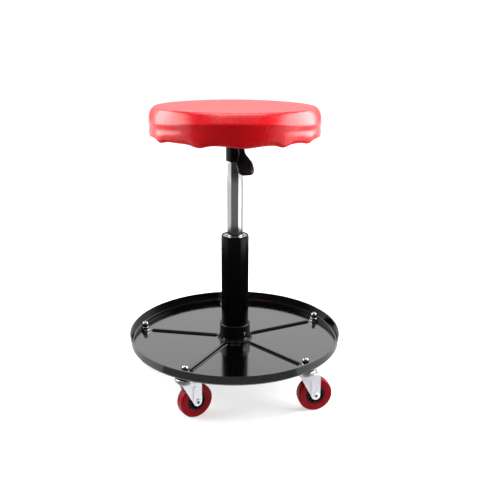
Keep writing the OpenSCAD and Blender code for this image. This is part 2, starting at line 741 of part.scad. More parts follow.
module seat_bolts() color([0.7, 0.7, 0.7])
    for (x = [-bolt_offset, bolt_offset]) for (y = [-bolt_offset, bolt_offset])
        translate([x, y, plate_z]) {
            translate([0, 0, -bolt_head_h]) cylinder(r = bolt_head_r, h = bolt_head_h, $fn = 6);
            cylinder(r = bolt_r, h = plate_t + bolt_up);
        }

module tee_nuts() color([0.75, 0.75, 0.7])
    for (x = [-bolt_offset, bolt_offset]) for (y = [-bolt_offset, bolt_offset])
        translate([x, y, board_z]) difference() {
            union() {
                cylinder(r = tee_barrel_r, h = board_t);
                translate([0, 0, board_t - tee_flange_t])
                    cylinder(r = tee_flange_r, h = tee_flange_t);
            }
            translate([0, 0, -cut]) cylinder(r = bolt_r + seat_gap, h = board_t + 2 * cut);
        }

module cover_staples() color([0.8, 0.8, 0.8])
    for (i = [0:staple_n - 1]) rotate(pucker_turn + 360 / staple_n * (i + 1 / 2))
        translate([0, -seat_r * staple_share, board_z + side_shares[0][1] * seat_side_h]) {
            translate([0, 0, -staple_wire / 2])
                cube([staple_w, staple_wire, staple_wire], center = true);
            for (side = [-1, 1])
                translate([side * (staple_w - staple_wire) / 2, 0, (staple_leg - staple_wire) / 2])
                    cube([staple_wire, staple_wire, staple_leg + staple_wire], center = true);
        }

// The cover's outer line from the hem's edge up to the crown: radius, height, pucker, fall
cover_outer = concat(
    [for (p = side_shares) [p[0] * seat_r, p[1] * seat_side_h, p[2], p[3]]],
    [for (p = crown_shares) [p[0] * seat_r, seat_side_h + p[1] * seat_crown, 0, 0]]);
// Its inner line from the crown down to the hem's edge, one cover thickness inside
cover_inner = concat(
    [for (k = [3, 2]) let (p = crown_shares[k])
        [p[0] * seat_r, seat_side_h + p[1] * seat_crown - cover_t, 0, 0]],
    [[seam_share * seat_r - cover_t, seat_side_h - 2 * cover_t, 0, 0]],
    [for (k = [10, 7, 5]) let (p = side_shares[k])
        [p[0] * seat_r - cover_t, p[1] * seat_side_h - cover_t, 0, p[3]]],
    [[board_r + cover_t, 0, 0, 0],
     [side_shares[2][0] * seat_r, -under_gap, 0, 0],
     [hem_in_share * seat_r, -under_gap, 0, 0]]);

// How deep the hem's pucker is at an angle
function pucker(a) = hem_pucker * pow((1 + cos(pucker_n * (a - pucker_turn))) / 2, 1.5);

// How much lower the crease runs at an angle
function fall(a) = crease_fall * pow(sin(a), 2);

module seat_cover() color([0.85, 0.12, 0.16]) {
    rings = concat(cover_outer, cover_inner);
    outer_n = len(cover_outer);
    n = cover_sides;
    points = concat(
        [for (k = [0:len(rings) - 1]) for (i = [0:n - 1])
            let (a = 360 / n * i, drop = rings[k][2] * pucker(a) + rings[k][3] * fall(a))
            [rings[k][0] * sin(a), -rings[k][0] * cos(a), board_z + rings[k][1] - drop]],
        [[0, 0, board_z + crown_z_top], [0, 0, board_z + crown_z_top - cover_t]]);
    top = len(rings) * n;
    // Bands run around the wall's section; the crown's gap is closed by a fan at each pole
    bands = [for (k = [0:len(rings) - 1]) if (k != outer_n - 1) [k, (k + 1) % len(rings)]];
    faces = concat(
        [for (b = bands) for (i = [0:n - 1]) let (j = (i + 1) % n)
            [b[0] * n + i, b[1] * n + i, b[1] * n + j]],
        [for (b = bands) for (i = [0:n - 1]) let (j = (i + 1) % n)
            [b[0] * n + i, b[1] * n + j, b[0] * n + j]],
        [for (i = [0:n - 1]) [(outer_n - 1) * n + i, top, (outer_n - 1) * n + (i + 1) % n]],
        [for (i = [0:n - 1]) [outer_n * n + (i + 1) % n, top + 1, outer_n * n + i]]);
    polyhedron(points = points, faces = faces);
}

// The foam fills the cover over the board, drawn in by the facets' depth and a small gap
module seat_foam() color([0.9, 0.85, 0.6]) translate([0, 0, board_z]) rotate_extrude() {
    shrink = cos(180 / cover_sides);
    polygon(concat(
        [[0, board_t], [board_r - foam_gap, board_t]],
        [for (k = [foam_rows - 1:-1:0]) let (p = cover_inner[k])
            [p[0] * shrink - foam_gap, p[1] - p[3] * crease_fall - foam_gap]],
        [[0, crown_z_top - cover_t - foam_gap]]));
}

tray_pan();
hub_socket();
hub_set_screw();
backing_plate();
hub_ring_nut();
column_tube();
guide_bush();
column_end_plate();
bearing_lower_washer();
bearing_balls();
caster_stems();
caster_cap_nuts();
caster_washers();
caster_race_cups();
swivel_balls();
piston_rod();
piston_head();
piston_seal();
bearing_upper_washer();
rubber_bumper();
rod_clip();
gas_cylinder();
inner_tube();
rod_seal_guide();
valve_body();
seat_socket();
seat_plate();
lever_bracket();
lever_pin();
seat_board();
seat_foam();
seat_cover();
seat_bolts();
tee_nuts();
cover_staples();
lever_arm();
lever_paddle();
release_pin();
for (i = [1:caster_n]) {
    fork(i);
    axle(i);
    tread(i);
    core(i);
}
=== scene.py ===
"""Rolling work stool: the finished look of every piece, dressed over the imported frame.

Lengths are in metres. The column stands on the Z axis, the front is at -Y and the floor at zero.
"""

import json
import logging
import random
from dataclasses import dataclass, field
from enum import Enum, auto
from math import atan2, cos, degrees, exp, hypot, log1p, pi, radians, sin, tau
from typing import Callable, ClassVar, Sequence

import bpy
from bpy.types import ID, Material, Node, NodeSocket, NodeTree, Object
from mathutils import Matrix, Vector


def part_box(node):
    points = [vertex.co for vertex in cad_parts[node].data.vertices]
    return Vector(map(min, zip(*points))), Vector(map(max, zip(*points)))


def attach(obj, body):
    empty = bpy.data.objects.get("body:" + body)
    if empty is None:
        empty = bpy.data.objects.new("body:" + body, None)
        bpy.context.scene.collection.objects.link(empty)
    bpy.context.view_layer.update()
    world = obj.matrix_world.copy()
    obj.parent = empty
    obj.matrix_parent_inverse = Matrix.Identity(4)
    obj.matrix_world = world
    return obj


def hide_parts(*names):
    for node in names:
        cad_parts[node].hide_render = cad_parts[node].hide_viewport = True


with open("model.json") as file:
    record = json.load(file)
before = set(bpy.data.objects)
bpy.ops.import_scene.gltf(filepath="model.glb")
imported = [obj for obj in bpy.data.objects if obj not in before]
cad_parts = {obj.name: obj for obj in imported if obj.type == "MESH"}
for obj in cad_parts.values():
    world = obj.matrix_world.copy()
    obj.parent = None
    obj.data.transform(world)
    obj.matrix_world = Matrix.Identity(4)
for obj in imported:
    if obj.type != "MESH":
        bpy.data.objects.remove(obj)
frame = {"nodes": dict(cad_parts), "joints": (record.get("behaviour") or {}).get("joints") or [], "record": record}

LOG = logging.getLogger("stool")
MM = 0.001
UP = Vector((0.0, 0.0, 1.0))
SIDES = (-1.0, 1.0)
WHITE = (1.0, 1.0, 1.0, 1.0)
FINE_PATCH = 3.1
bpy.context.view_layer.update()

Point2 = tuple[float, float]
Triple = tuple[float, float, float]
Colour = Triple
Mixed = float | tuple[float, ...] | NodeSocket


class Grain(Enum):
    """The fine relief that a finish carries."""

    ORANGE_PEEL = auto()
    BRUSHED = auto()
    LEATHER = auto()
    SPARK = auto()
    SPANGLE = auto()
    WOOD = auto()
    FOAM = auto()
    NONE = auto()


class NodeBench:
    """Builds the nodes of a material or a world."""

    def __init__(self, tree: NodeTree, space: str) -> None:
        """Takes up a tree and its coordinates.

        Args:
            tree: The tree of nodes.
            space: The coordinates that its patterns lie on.
        """
        self.tree = tree
        self.coords: NodeSocket = self.add("ShaderNodeTexCoord").outputs[space]

    @staticmethod
    def adjust(node: Node, **values: object) -> Node:
        """Sets a node's inputs by name, or its own settings.

        Args:
            node: The node.
            **values: Inputs, with spaces written as underscores, or settings.

        Returns:
            The node.
        """
        for key, value in values.items():
            socket = node.inputs.get(key.replace("_", " "))
            if socket is not None:
                socket.default_value = value
            else:
                setattr(node, key, value)
        return node

    def add(self, kind: str, **values: object) -> Node:
        """Adds a node of a kind, with its inputs and settings."""
        return self.adjust(self.tree.nodes.new(kind), **values)

    def join(self, source: NodeSocket, target: NodeSocket) -> None:
        """Links two sockets."""
        self.tree.links.new(source, target)

    def after(self, source: NodeSocket, kind: str, result: str, entry: str = "Vector",
              **values: object) -> NodeSocket:
        """Adds a node whose entry reads a socket, and gives its result."""
        node = self.add(kind, **values)
        return self.tree.links.new(source, node.inputs[entry]).to_node.outputs[result]

    def scaled(self, scale: Sequence[float]) -> NodeSocket:
        """The coordinates, stretched along each axis."""
        return self.after(self.coords, "ShaderNodeMapping", "Vector", Scale=tuple(scale))

    def noise(self, scale: float, detail: float = 3.0, vector: NodeSocket | None = None) -> NodeSocket:
        """Clouds, so many to the metre, with so many finer octaves."""
        return self.after(vector or self.coords, "ShaderNodeTexNoise", "Fac", Scale=scale, Detail=detail)

    def cells(self, scale: float, feature: str = "F1") -> NodeSocket:
        """Cells, so many to the metre, dark at each one's middle."""
        return self.after(self.coords, "ShaderNodeTexVoronoi", "Distance", feature=feature, Scale=scale)

    def spread(self, value: NodeSocket, low: float, high: float, edge: Point2 = (0.3, 0.7),
               curve: str = "LINEAR") -> NodeSocket:
        """Maps a pattern's values at both edges onto low and high."""
        return self.after(value, "ShaderNodeMapRange", "Result", "Value", interpolation_type=curve,
                          From_Min=edge[0], From_Max=edge[1], To_Min=low, To_Max=high)

    def mix(self, factor: NodeSocket, a: Mixed, b: Mixed, kind: str = "FLOAT") -> NodeSocket:
        """Mixes two numbers or two colours.

        Args:
            factor: The share of the second.
            a: The first, as a socket or a value.
            b: The second, as a socket or a value.
            kind: FLOAT for numbers, RGBA for colours.

        Returns:
            The mixture.
        """
        node = self.add("ShaderNodeMix", data_type=kind)
        self.join(factor, node.inputs[0])
        first, result = (6, 2) if kind == "RGBA" else (2, 0)
        for socket, value in zip(node.inputs[first:first + 2], (a, b)):
            if isinstance(value, NodeSocket):
                self.join(value, socket)
            else:
                socket.default_value = value
        return node.outputs[result]

    def relief(self, height: NodeSocket, depth: float, below: NodeSocket | None = None) -> NodeSocket:
        """Turns a pattern into relief.

        Args:
            height: The pattern.
            depth: How deep the relief is.
            below: Relief that this one lies on.

        Returns:
            The surface's normal.
        """
        node = self.add("ShaderNodeBump", Strength=1.0, Distance=depth)
        self.join(height, node.inputs["Height"])
        if below is not None:
            self.join(below, node.inputs["Normal"])
        return node.outputs["Normal"]


class MaterialBench(NodeBench):
    """Builds one material."""

    def __init__(self, name: str) -> None:
        """Starts a material with one shader.

        Args:
            name: The material's name.
        """
        self.material: Material = bpy.data.materials.new(name)
        self.material.use_nodes = True
        super().__init__(self.material.node_tree, "Object")
        self.shader: Node = self.tree.nodes["Principled BSDF"]


@dataclass(frozen=True)
class Finish:
    """One surface finish: its colour, gloss and fine relief."""

    name: str
    colour: Colour
    shade: Colour
    roughness: Point2
    grain: Grain = Grain.NONE
    depth: float = 0.0
    patch_scale: float = 30.0
    metallic: float = 0.0
    ior: float = 1.5
    specular: float = 0.5

    def relief_of(self, bench: NodeBench) -> NodeSocket | None:
        """Builds the grain's relief.

        Args:
            bench: The material's nodes.

        Returns:
            The normal, or nothing for a plain surface.
        """
        patterns: dict[Grain, Callable[[], NodeSocket]] = {
            Grain.ORANGE_PEEL: lambda: bench.noise(260.0, 2.0),
            Grain.BRUSHED: lambda: bench.noise(1.0, 4.0, bench.scaled((2600.0, 2600.0, 90.0))),
            Grain.LEATHER: lambda: bench.cells(1250.0, "SMOOTH_F1"),
            Grain.SPARK: lambda: bench.noise(1500.0, 2.0),
            Grain.SPANGLE: lambda: bench.cells(420.0),
            Grain.WOOD: lambda: bench.noise(1.0, 5.0, bench.scaled((900.0, 40.0, 900.0))),
            Grain.FOAM: lambda: bench.cells(1400.0)}
        # Clouds to the metre under the grain, and their depth as a share of the grain's
        clouds = {Grain.LEATHER: (95.0, 1.2), Grain.SPANGLE: (900.0, 1.0)}
        if self.grain is Grain.NONE:
            return None
        below = None
        if self.grain in clouds:
            scale, share = clouds[self.grain]
            below = bench.relief(bench.noise(scale), share * self.depth)
        return bench.relief(patterns[self.grain](), self.depth, below)

    def make(self) -> Material:
        """Builds the material.

        Returns:
            The material.
        """
        bench = MaterialBench(self.name)
        shader = bench.shader.inputs
        patch = bench.spread(bench.noise(self.patch_scale, 4.0), 0.0, 1.0)
        tone = bench.mix(patch, (*self.colour, 1.0), (*self.shade, 1.0), "RGBA")
        bench.join(tone, shader["Base Color"])
        fine = bench.noise(FINE_PATCH * self.patch_scale)
        bench.join(bench.spread(fine, *self.roughness), shader["Roughness"])
        bench.adjust(
            bench.shader, Metallic=self.metallic, IOR=self.ior, Specular_IOR_Level=self.specular)
        normal = self.relief_of(bench)
        if normal is not None:
            bench.join(normal, shader["Normal"])
        return bench.material


# The finish of each slot: its two colours, its range of roughness, its grain and the grain's depth
FINISHES: tuple[Finish, ...] = (
    Finish("tray_enamel", (0.005, 0.004, 0.006), (0.007, 0.006, 0.008), (0.09, 0.13),
           Grain.ORANGE_PEEL, 4e-6, ior=1.8),
    Finish("column_enamel", (0.003, 0.003, 0.004), (0.004, 0.004, 0.005), (0.1, 0.16),
           Grain.ORANGE_PEEL, 4e-6, ior=1.42, specular=0.24),
    Finish("cylinder_chrome", (0.66, 0.66, 0.67), (0.62, 0.62, 0.63), (0.06, 0.11), metallic=1.0),
    Finish("nut_chrome", (0.32, 0.32, 0.33), (0.27, 0.27, 0.29), (0.2, 0.28), metallic=1.0),
    Finish("fork_zinc", (0.84, 0.85, 0.89), (0.76, 0.77, 0.81), (0.26, 0.42),
           Grain.SPANGLE, 6e-6, metallic=0.35),
    Finish("zinc", (0.62, 0.62, 0.6), (0.52, 0.52, 0.5), (0.24, 0.38),
           Grain.SPANGLE, 6e-6, metallic=1.0),
    Finish("bright_steel", (0.60, 0.60, 0.61), (0.52, 0.52, 0.54), (0.2, 0.35),
           Grain.BRUSHED, 4e-6, metallic=1.0),
    Finish("brass", (0.66, 0.48, 0.22), (0.58, 0.41, 0.18), (0.22, 0.36),
           Grain.BRUSHED, 4e-6, metallic=1.0),
    Finish("bush_steel", (0.36, 0.36, 0.37), (0.30, 0.30, 0.31), (0.26, 0.36), metallic=1.0),
    Finish("black_rubber", (0.012, 0.012, 0.012), (0.02, 0.02, 0.02), (0.55, 0.75), Grain.SPARK, 3e-5),
    Finish("red_tread", (0.22, 0.002, 0.006), (0.17, 0.002, 0.005), (0.26, 0.36),
           Grain.SPARK, 1.2e-5, specular=0.07),
    Finish("core_plastic", (0.003, 0.003, 0.004), (0.006, 0.006, 0.007), (0.4, 0.55),
           Grain.SPARK, 3e-5, specular=0.2),
    Finish("paddle_plastic", (0.003, 0.003, 0.004), (0.005, 0.005, 0.006), (0.3, 0.42),
           Grain.SPARK, 2.5e-5, specular=0.25),
    Finish("red_vinyl", (0.62, 0.001, 0.007), (0.57, 0.001, 0.005), (0.24, 0.30),
           Grain.LEATHER, 8e-6, patch_scale=14.0, specular=0.45),
    Finish("foam", (0.80, 0.70, 0.42), (0.72, 0.61, 0.34), (0.85, 0.95), Grain.FOAM, 2e-4),
    Finish("plywood", (0.56, 0.39, 0.22), (0.42, 0.27, 0.14), (0.6, 0.75),
           Grain.WOOD, 8e-5, patch_scale=22.0))


def put_in(name: str, data: ID) -> Object:
    """Puts an object into the scene.

    Args:
        name: The object's name.
        data: Its mesh, light or camera.

    Returns:
        The object.
    """
    thing = bpy.data.objects.new(name, data)
    bpy.context.scene.collection.objects.link(thing)
    return thing


class Bench:
    """The hand work that every sub-assembly shares."""

    def __init__(self, materials: dict[str, Material]) -> None:
        """Keeps the materials.

        Args:
            materials: Each slot's material.
        """
        self.materials = materials
        self.slots: dict[str, str] = {
            s["node"]: s["material_slot"] for s in frame["record"]["subparts"]}
        self.replaced: set[str] = set()

    @staticmethod
    def deselect() -> None:
        """Leaves nothing selected, in object mode."""
        if bpy.context.object is not None and bpy.context.object.mode != "OBJECT":
            bpy.ops.object.mode_set(mode="OBJECT")
        bpy.ops.object.select_all(action="DESELECT")

    @staticmethod
    def take(piece: Object) -> None:
        """Makes a piece the only selected and active one.

        Args:
            piece: The piece.
        """
        Bench.deselect()
        piece.select_set(True)
        bpy.context.view_layer.objects.active = piece

    @staticmethod
    def drawn(name: str, points: Sequence[Vector]) -> Object:
        """Draws a line as a mesh and stays in edit mode.

        Args:
            name: The piece's name.
            points: The line's points.

        Returns:
            The new piece.
        """
        Bench.deselect()
        bpy.ops.mesh.primitive_plane_add(size=MM, location=(0.0, 0.0, 0.0))
        piece = bpy.context.active_object
        piece.name = piece.data.name = name
        bpy.ops.object.mode_set(mode="EDIT")
        bpy.ops.mesh.select_all(action="SELECT")
        bpy.ops.mesh.merge(type="CENTER")
        bpy.ops.transform.translate(value=points[0])
        for here, there in zip(points, points[1:]):
            bpy.ops.mesh.extrude_region_move(TRANSFORM_OT_translate={"value": there - here})
        bpy.ops.mesh.select_all(action="SELECT")
        return piece

    @staticmethod
    def close_up() -> None:
        """Merges the doubles of what is being edited, turns its faces outwards and leaves edit mode."""
        bpy.ops.mesh.select_all(action="SELECT")
        bpy.ops.mesh.remove_doubles(threshold=0.01 * MM)
        bpy.ops.mesh.normals_make_consistent(inside=False)
        bpy.ops.object.mode_set(mode="OBJECT")

    @staticmethod
    def soften(outline: Sequence[Point2], radius: float, steps: int = 3) -> list[Point2]:
        """Rounds an outline's corners.

        Args:
            outline: The outline's points.
            radius: How far from a corner the round begins.
            steps: Pieces in each round.

        Returns:
            The rounded outline.
        """
        points = [Vector(p) for p in outline]
        result: list[Point2] = []
        for i, corner in enumerate(points):
            ways = (points[i - 1] - corner, points[(i + 1) % len(points)] - corner)
            a, b = (corner + way.normalized() * min(radius, 0.45 * way.length) for way in ways)
            for k in range(steps + 1):
                t = k / steps
                result.append(tuple((1 - t) ** 2 * a + 2 * t * (1 - t) * corner + t * t * b))
        return result

    @staticmethod
    def turned(name: str, outline: Sequence[Point2], centre: Vector = Vector(), axis: Vector = UP,
               steps: int = 96, closed: bool = True, angle: float = 35.0) -> Object:
        """Turns an outline about an axis, as on a lathe.

        Args:
            name: The piece's name.
            outline: Points of radius and height.
            centre: Where height zero lies on the axis.
            axis: The axis's direction.
            steps: Steps in the full turn.
            closed: Whether the outline's ends meet.
            angle: Edges under this angle are shaded smooth.

        Returns:
            The turned piece.
        """
        axis = axis.normalized()
        side = axis.orthogonal().normalized()
        points = [centre + side * r + axis * h for r, h in outline]
        piece = Bench.drawn(name, points + points[:1] if closed else points)
        bpy.ops.mesh.spin(steps=steps, angle=tau, center=centre, axis=axis)
        Bench.close_up()
        bpy.ops.object.shade_smooth_by_angle(angle=radians(angle))
        return piece

    @staticmethod
    def cut_plate(name: str, outline: Sequence[Point2], origin: Vector, across: Vector, up: Vector,
                  thickness: float, edge: float) -> Object:
        """Cuts a flat plate and rounds its edges.

        Args:
            name: The piece's name.
            outline: The outline's points, across and up.
            origin: Where the outline's zero lies, on the plate's near face.
            across: The outline's first direction.
            up: The outline's second direction.
            thickness: The plate's thickness, away from across x up.
            edge: The width of its rounded edges.

        Returns:
            The plate.
        """
        piece = Bench.drawn(name, [origin + across * x + up * y for x, y in outline])
        bpy.ops.mesh.edge_face_add()
        through = across.cross(up) * -thickness
        bpy.ops.mesh.extrude_region_move(TRANSFORM_OT_translate={"value": through})
        Bench.close_up()
        Bench.bevelled(piece, edge)
        return piece

    @staticmethod
    def modified(piece: Object, kind: str, **settings: object) -> None:
        """Gives a piece a modifier and applies it.

        Args:
            piece: The piece.
            kind: The modifier's type.
            **settings: The modifier's settings.
        """
        Bench.take(piece)
        modifier = piece.modifiers.new(kind.lower(), kind)
        for key, value in settings.items():
            setattr(modifier, key, value)
        bpy.ops.object.modifier_apply(modifier=modifier.name)

    @staticmethod
    def bevelled(piece: Object, width: float, angle: float = 40.0) -> None:
        """Rounds a piece's sharp edges, if the width isn't zero, and keeps its flat faces flat.

        Args:
            piece: The piece.
            width: The width of the rounds.
            angle: Edges over this angle are rounded.
        """
        if width:
            Bench.modified(piece, "BEVEL", width=width, segments=2, limit_method="ANGLE",
                           angle_limit=radians(angle), harden_normals=False)
            bpy.ops.object.shade_smooth_by_angle(angle=radians(angle))
        Bench.modified(piece, "WEIGHTED_NORMAL", keep_sharp=True)

    @staticmethod
    def from_node(name: str, node: str, bevel: float, angle: float = 32.0) -> Object:
        """Copies a node of the frame as one merged, smoothly shaded mesh.

        Args:
            name: The piece's name.
            node: The node's name.
            bevel: The width of its rounded edges, or zero.
            angle: Edges under this angle are shaded smooth.

        Returns:
            The copy.
        """
        doubled, flat = 0.002 * MM, radians(0.4)
        piece = put_in(name, frame["nodes"][node].data.copy())
        Bench.take(piece)
        bpy.ops.object.mode_set(mode="EDIT")
        bpy.ops.mesh.customdata_custom_splitnormals_clear()
        bpy.ops.mesh.select_all(action="SELECT")
        bpy.ops.mesh.remove_doubles(threshold=doubled)
        bpy.ops.mesh.dissolve_limited(angle_limit=flat)
        bpy.ops.object.mode_set(mode="OBJECT")
        bpy.ops.object.shade_smooth_by_angle(angle=radians(angle))
        Bench.bevelled(piece, bevel, angle)
        return piece

    @staticmethod
    def joined(name: str, pieces: Sequence[Object]) -> Object:
        """Joins pieces into one.

        Args:
            name: The joined piece's name.
            pieces: What is joined.

        Returns:
            The joined piece.
        """
        Bench.take(pieces[0])
        for piece in pieces:
            piece.select_set(True)
        bpy.ops.object.join()
        piece = bpy.context.active_object
        piece.name = piece.data.name = name
        return piece

    def settle(self, piece: Object, body: str, slot: str, *nodes: str) -> Object:
        """Dresses a piece and puts it on its body.

        Args:
            piece: The piece.
            body: The body that it rides on.
            slot: Its material slot.
            *nodes: The nodes that it replaces.

        Returns:
            The piece.
        """
        piece.data.materials.clear()
        piece.data.materials.append(self.materials[slot])
        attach(piece, body)
        if nodes:
            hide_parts(*nodes)
            self.replaced.update(nodes)
        LOG.info("%s on %s in %s, %d faces", piece.name, body, slot, len(piece.data.polygons))
        return piece

    def refine(self, name: str, node: str, body: str, slot: str, bevel: float,
               angle: float = 32.0) -> None:
        """Puts a rounded copy of a node in its place."""
        self.settle(Bench.from_node(name, node, bevel, angle), body, slot, node)

    def dress_rest(self) -> None:
        """Puts its finish on each node that keeps its own shape."""
        for node, slot in self.slots.items():
            if node not in self.replaced:
                mesh = frame["nodes"][node].data
                mesh.materials.clear()
                mesh.materials.append(self.materials[slot])
                LOG.info("%s keeps its shape", node)


def low_high(node: str) -> tuple[Vector, Vector]:
    """A node's lowest and highest corners."""
    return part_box(node)


@dataclass
class SubAssembly:
    """A sub-assembly, with the rounded copies of nodes that it holds."""

    bench: Bench
    # Each copy's name, node, body, slot, rounded edges and smooth angle, where it has its own
    copies: ClassVar[tuple[tuple[str | float, ...], ...]] = ()

    def build(self) -> None:
        """Puts the copies in their places."""
        for row in self.copies:
            self.bench.refine(*row)


@dataclass
class Cushion(SubAssembly):
    """The padded seat: a red vinyl cover drawn over foam and a board, stapled underneath."""

    copies = (("seat_plywood", "seat_board", "seat", "plywood", 0.4 * MM),)
    steps: int = 288
    cover: float = 1.1 * MM
    pleat: float = 0.7 * MM
    sag_cap: float = 0.9 * MM
    hem_pull: float = 0.5 * MM
    seam_depth: float = 4.0 * MM
    seam_share: float = 0.938
    foam_inset: float = 2.2 * MM
    round_off: float = 0.15 * MM
    wall_share: float = 0.95
    frames: int = 20
    crown_steps: int = 16
    # The crown's first and base shares of the radius, and how square its shoulder is
    crown: Triple = (0.909, 0.94, 2.6)
    # The ridge's level in front, its fall at the sides and its wander, as shares of the side
    ridge: Triple = (0.68, 0.17, 0.012)
    # The soft fold's depth in mm, how far under the ridge it lies and its width
    fold: Triple = (1.15, 0.22, 0.13)
    # The level, seed and depth in mm of each faint fold, and the width of both
    faint_folds: tuple[tuple[float, int, float], ...] = ((0.4, 11, 0.18), (0.84, 17, 0.14))
    faint_width: float = 0.08
    # Angle from the front in degrees, width in degrees and depth in mm of each drooping pucker
    puckers: tuple[Triple, ...] = (
        (-57, 5, 4.2), (-23, 5.5, 4.6), (6, 9, 3.4), (31.7, 4.5, 4.4), (55, 5, 3.4), (88, 6, 3.4),
        (118, 8, 4.0), (150, 6, 4.4), (182, 9, 3.4), (213, 6, 4.4), (243, 8, 3.4), (272, 7, 3.8))
    radius: float = field(init=False)
    board: float = field(init=False)
    seam: float = field(init=False)
    side: float = field(init=False)
    top: float = field(init=False)

    def __post_init__(self) -> None:
        """Takes the cushion's sizes from the frame."""
        low, high = low_high("seat_cover")
        self.radius = 0.5 * (high.x - low.x)
        self.board = low_high("seat_board")[0].z
        self.top = high.z
        self.seam = self.top - self.seam_depth
        self.side = self.seam - self.board

    def outline(self) -> list[Point2]:
        """The cover's line from the hem's inner edge over the seam to the middle.

        Returns:
            Points of radius and height.
        """
        hem = [(0.832, -0.033), (0.86, -0.036), (0.89, -0.036), (0.92, -0.036), (0.945, -0.036),
               (0.966, -0.030), (0.981, -0.008), (0.989, 0.03), (0.9945, 0.08)]
        rows = (0.26, 0.32, 0.37, 0.41, 0.45, 0.475, 0.5, 0.52, 0.54, 0.56, 0.58, 0.6, 0.62, 0.64,
                0.66, 0.68, 0.7, 0.725, 0.755, 0.79, 0.83, 0.87, 0.905, 0.94, 0.965, 0.985)
        wall = [(0.998, 0.14), (0.9995, 0.2), *((1.0, row) for row in rows)]
        seam = [(self.seam_share, 1.0), (0.935, 0.988), (0.927, 0.962), (0.918, 0.985), (0.914, 1.004)]
        points = [(a * self.radius, self.board + b * self.side) for a, b in hem + wall + seam]
        first, base, square = self.crown
        for k in range(1, self.crown_steps + 1):
            share = first * (1 - k / self.crown_steps)
            rise = 1 - (share / base) ** square
            points.append((share * self.radius, self.seam + (self.top - self.seam) * rise))
        return points

    def drop(self, angle: float) -> float:
        """How far the hem droops at an angle.

        Args:
            angle: Degrees from the front.

        Returns:
            The droop in metres.
        """
        total = 0.0
        for middle, width, depth in self.puckers:
            off = (angle - middle + 180.0) % 360.0 - 180.0
            total += depth * exp(-((off / width) ** 2))
        return total * MM

    def ripple(self, angle: float, seed: int, waves: Sequence[int]) -> float:
        """A smooth wave round the seat that repeats after one turn.

        Args:
            angle: Degrees from the front.
            seed: Picks the waves' phases.
            waves: How many times each wave repeats in a turn.

        Returns:
            The wave, from about -1 to 1.
        """
        dice = random.Random(seed)
        total = sum(sin(radians(n * angle) + dice.uniform(0.0, tau)) for n in waves)
        return total / len(waves)

    def crease(self, angle: float, height: float) -> float:
        """How far the side is drawn in by its crease and its soft folds.

        Args:
            angle: Degrees from the front.
            height: The share of the side's height.

        Returns:
            The draw in metres.
        """
        sideways = abs(sin(radians(angle)))
        front, sunk, wander = self.ridge
        level = front - sunk * sideways ** 2 + wander * self.ripple(angle, 3, (2, 5, 9))
        # The side leans in above the ridge, most of all just under the seam
        soft = 0.01 + 0.035 * sideways ** 4
        rise = min(1.0, soft * log1p(exp((height - level) / soft)) / (1.0 - level))
        kink = 0.88 - 0.65 * sideways ** 8
        lean = kink * rise + (1.0 - kink) * rise ** (2.5 + 1.5 * sideways ** 2)
        draw = lean * (1.0 - self.seam_share) * self.radius / MM
        # A wide soft fold lies under the ridge at the left and right
        depth, under, width = self.fold
        facing = min(1.0, max(0.0, (sideways - 0.45) / 0.35))
        draw += facing * depth * exp(-(((height - level + under) / width) ** 2))
        for middle, seed, depth in self.faint_folds:
            off = (height - middle - 0.04 * self.ripple(angle, seed, (2, 3, 5))) / self.faint_width
            draw += exp(-(off ** 2)) * (1.0 + self.ripple(angle, seed + 1, (5, 8, 13))) * depth
        return draw * MM

    def pucker(self, piece: Object) -> None:
        """Draws the hem down and in between the staples, and folds the side.

        Args:
            piece: The turned cover.
        """
        # Shares of the radius: what stays still, and where the hem's pull begins, grows and ends
        still, hem, reach, end = 0.8, 0.875, 0.08, 0.97
        # Shares of the side: how high the droop fades, the tuck's level and width, and the foot
        fade, level, width, foot = 0.10, 0.05, 0.12, 0.02
        for vertex in piece.data.vertices:
            x, y, z = vertex.co
            r = hypot(x, y)
            share = r / self.radius
            if r < still * self.radius:
                continue
            angle = degrees(atan2(x, -y))
            height = (z - self.board) / self.side
            out = Vector((x / r, y / r, 0.0))
            droop = self.drop(angle)
            under = max(0.0, min(1.0, (share - hem) / reach)) if height < 0.0 else 1.0
            vertex.co.z -= droop * under * exp(-((max(height, 0.0) / fade) ** 2))
            pull = self.hem_pull - 0.45 * droop
            tuck = exp(-(((height - level) / width) ** 2))
            vertex.co -= out * pull * tuck * (1 if height > -foot else under)
            if height < foot:
                pleat = self.ripple(angle, 5, (31, 47, 61, 76)) * self.pleat
                vertex.co.z -= abs(pleat) * min(1.0, (end - share) / 0.1 + 0.2)
            if r > self.wall_share * self.radius:
                vertex.co -= out * self.crease(angle, height)

    def settle_foam(self, piece: Object) -> None:
        """Lets the foam press the cover out between its seam and its staples.

        Args:
            piece: The puckered cover.
        """
        rest = [v.co.copy() for v in piece.data.vertices]
